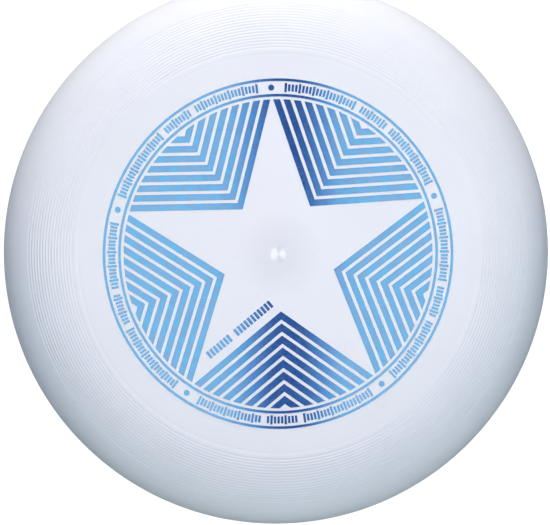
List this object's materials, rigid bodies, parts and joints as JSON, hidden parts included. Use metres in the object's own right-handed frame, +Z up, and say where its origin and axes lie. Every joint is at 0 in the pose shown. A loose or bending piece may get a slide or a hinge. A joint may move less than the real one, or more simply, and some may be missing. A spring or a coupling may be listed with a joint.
{
  "type": "flying disc",
  "caption": "Round throwing disc with a flat flight plate, fine flight rings on its sloping shoulder, a deep rolled rim and a blue foil star print.",
  "frame": {"origin": "centre of the circle that the rim rests on", "axes": "+Z up through the middle of the flight plate, +Y towards one tip of the printed star, +X to the right of it"},
  "size_m": [0.274, 0.274, 0.032],
  "materials": {
    "disc_plastic": "cool white moulded polyethylene with a soft satin sheen",
    "blue_foil": "blue metallic hot-stamped foil, glossy"
  },
  "bodies": {
    "root": {"disc_body": "disc_plastic", "outer_border_line": "blue_foil", "inner_border_line": "blue_foil", "border_dot_1": "blue_foil", "upper_left_stripe_1": "blue_foil", "upper_left_stripe_2": "blue_foil", "upper_left_stripe_3": "blue_foil", "upper_left_stripe_4": "blue_foil", "upper_left_stripe_5": "blue_foil", "upper_left_stripe_6": "blue_foil", "upper_left_stripe_7": "blue_foil", "upper_left_stripe_8": "blue_foil", "border_dot_2": "blue_foil", "lower_left_stripe_1": "blue_foil", "lower_left_stripe_2": "blue_foil", "lower_left_stripe_3": "blue_foil", "lower_left_stripe_4": "blue_foil", "lower_left_stripe_5": "blue_foil", "lower_left_stripe_6": "blue_foil", "lower_left_stripe_7": "blue_foil", "lower_left_stripe_8": "blue_foil", "border_dot_3": "blue_foil", "bottom_stripe_1": "blue_foil", "bottom_stripe_2": "blue_foil", "bottom_stripe_3": "blue_foil", "bottom_stripe_4": "blue_foil", "bottom_stripe_5": "blue_foil", "bottom_stripe_6": "blue_foil", "bottom_stripe_7": "blue_foil", "bottom_stripe_8": "blue_foil", "border_dot_4": "blue_foil", "lower_right_stripe_1": "blue_foil", "lower_right_stripe_2": "blue_foil", "lower_right_stripe_3": "blue_foil", "lower_right_stripe_4": "blue_foil", "lower_right_stripe_5": "blue_foil", "lower_right_stripe_6": "blue_foil", "lower_right_stripe_7": "blue_foil", "lower_right_stripe_8": "blue_foil", "border_dot_5": "blue_foil", "upper_right_stripe_1": "blue_foil", "upper_right_stripe_2": "blue_foil", "upper_right_stripe_3": "blue_foil", "upper_right_stripe_4": "blue_foil", "upper_right_stripe_5": "blue_foil", "upper_right_stripe_6": "blue_foil", "upper_right_stripe_7": "blue_foil", "upper_right_stripe_8": "blue_foil"}
  },
  "joints": []
}
